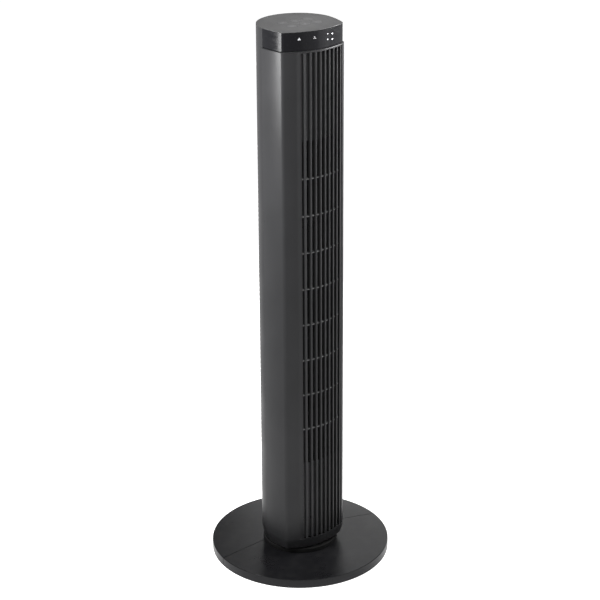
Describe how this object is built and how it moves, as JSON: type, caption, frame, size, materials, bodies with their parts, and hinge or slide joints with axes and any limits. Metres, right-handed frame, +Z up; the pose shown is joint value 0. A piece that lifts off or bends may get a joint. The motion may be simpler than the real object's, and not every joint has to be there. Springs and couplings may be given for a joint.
{
  "type": "tower fan",
  "caption": "Slim tower fan on a round two-piece base: slatted front outlet, louvred back, dark display band and push buttons on a flat top; the column swings on its base.",
  "frame": {"origin": "centre of the round base, on the floor plane under the rubber feet", "axes": "+Z up the column, the column's front grille faces -Y at rest, +X to the object's left when seen from behind it (to the right of a viewer who faces the grille)"},
  "size_m": [0.3008, 0.3008, 0.9137],
  "materials": {
    "base_plastic": "semi-gloss charcoal moulding",
    "shell_plastic": "satin charcoal moulding",
    "rear_plastic": "fine satin dark grey moulding",
    "grille_plastic": "satin charcoal moulding",
    "cap_plastic": "fine matte dark grey moulding",
    "black_window": "polished smoked black",
    "button_plastic": "matte dark grey",
    "inner_plastic": "plain black moulding",
    "wheel_plastic": "plain black moulding",
    "acetal": "slippery natural white",
    "steel": "zinc-plated",
    "motor_can": "cast and pressed metal",
    "bronze": "oil-soaked bronze",
    "rubber": "soft black rubber",
    "circuit": "lacquered board"
  },
  "bodies": {
    "base": {"base_front_half": "base_plastic", "base_rear_half": "base_plastic", "pivot_plate": "inner_plastic", "retaining_nut": "inner_plastic", "base_foot_1": "rubber", "base_foot_2": "rubber", "base_foot_3": "rubber", "base_foot_4": "rubber", "base_foot_5": "rubber", "base_foot_6": "rubber", "base_screw_1": "steel", "base_screw_2": "steel", "base_screw_3": "steel", "base_screw_4": "steel", "bearing_ring": "acetal", "retaining_clip": "steel", "fixed_gear": "acetal"},
    "tower": {"tower_floor": "inner_plastic", "rear_shell": "rear_plastic", "front_shell": "shell_plastic", "front_grille": "grille_plastic", "top_plate": "cap_plastic", "control_band": "black_window", "display_board": "circuit", "button_board": "circuit", "main_board": "circuit", "volute": "inner_plastic", "tongue": "inner_plastic", "duct_bottom_plate": "inner_plastic", "duct_top_plate": "inner_plastic", "top_bush": "bronze", "motor_body": "motor_can", "motor_bracket": "steel", "swivel_motor": "motor_can", "cord_gland": "rubber", "motor_screw_1": "steel", "motor_screw_2": "steel", "motor_screw_3": "steel", "rear_screw_1": "steel", "rear_screw_2": "steel", "rear_screw_3": "steel", "rear_screw_4": "steel"},
    "blower": {"impeller": "wheel_plastic", "motor_shaft": "steel", "top_axle": "steel"},
    "pinion": {"swivel_pinion": "acetal"},
    "button_1": {"button_1": "button_plastic"},
    "button_2": {"button_2": "button_plastic"},
    "button_3": {"button_3": "button_plastic"},
    "button_4": {"button_4": "button_plastic"},
    "button_5": {"button_5": "button_plastic"},
    "button_6": {"button_6": "button_plastic"}
  },
  "joints": [
    {"name": "swivel", "type": "hinge", "parent": "base", "child": "tower", "pos_m": [0, 0, 0.02], "axis": [0, 0, 1], "range_deg": [-44, 36]},
    {"name": "blower_spin", "type": "hinge", "parent": "tower", "child": "blower", "pos_m": [0.002, 0.008, 0.46], "axis": [0, 0, 1], "continuous": true},
    {"name": "pinion_spin", "type": "hinge", "parent": "tower", "child": "pinion", "pos_m": [-0.02401, -0.02401, 0.037], "axis": [0, 0, 1], "range_deg": [-178, 146]},
    {"name": "button_1_press", "type": "slide", "parent": "tower", "child": "button_1", "axis": [0, 0, -1], "range_m": [0, 0.0008], "stiffness_N_per_m": 400},
    {"name": "button_2_press", "type": "slide", "parent": "tower", "child": "button_2", "axis": [0, 0, -1], "range_m": [0, 0.0008], "stiffness_N_per_m": 400},
    {"name": "button_3_press", "type": "slide", "parent": "tower", "child": "button_3", "axis": [0, 0, -1], "range_m": [0, 0.0008], "stiffness_N_per_m": 400},
    {"name": "button_4_press", "type": "slide", "parent": "tower", "child": "button_4", "axis": [0, 0, -1], "range_m": [0, 0.0008], "stiffness_N_per_m": 400},
    {"name": "button_5_press", "type": "slide", "parent": "tower", "child": "button_5", "axis": [0, 0, -1], "range_m": [0, 0.0008], "stiffness_N_per_m": 400},
    {"name": "button_6_press", "type": "slide", "parent": "tower", "child": "button_6", "axis": [0, 0, -1], "range_m": [0, 0.0008], "stiffness_N_per_m": 400}
  ],
  "couplings": [
    {"joint": "pinion_spin", "follows": "swivel", "ratio": 4}
  ]
}
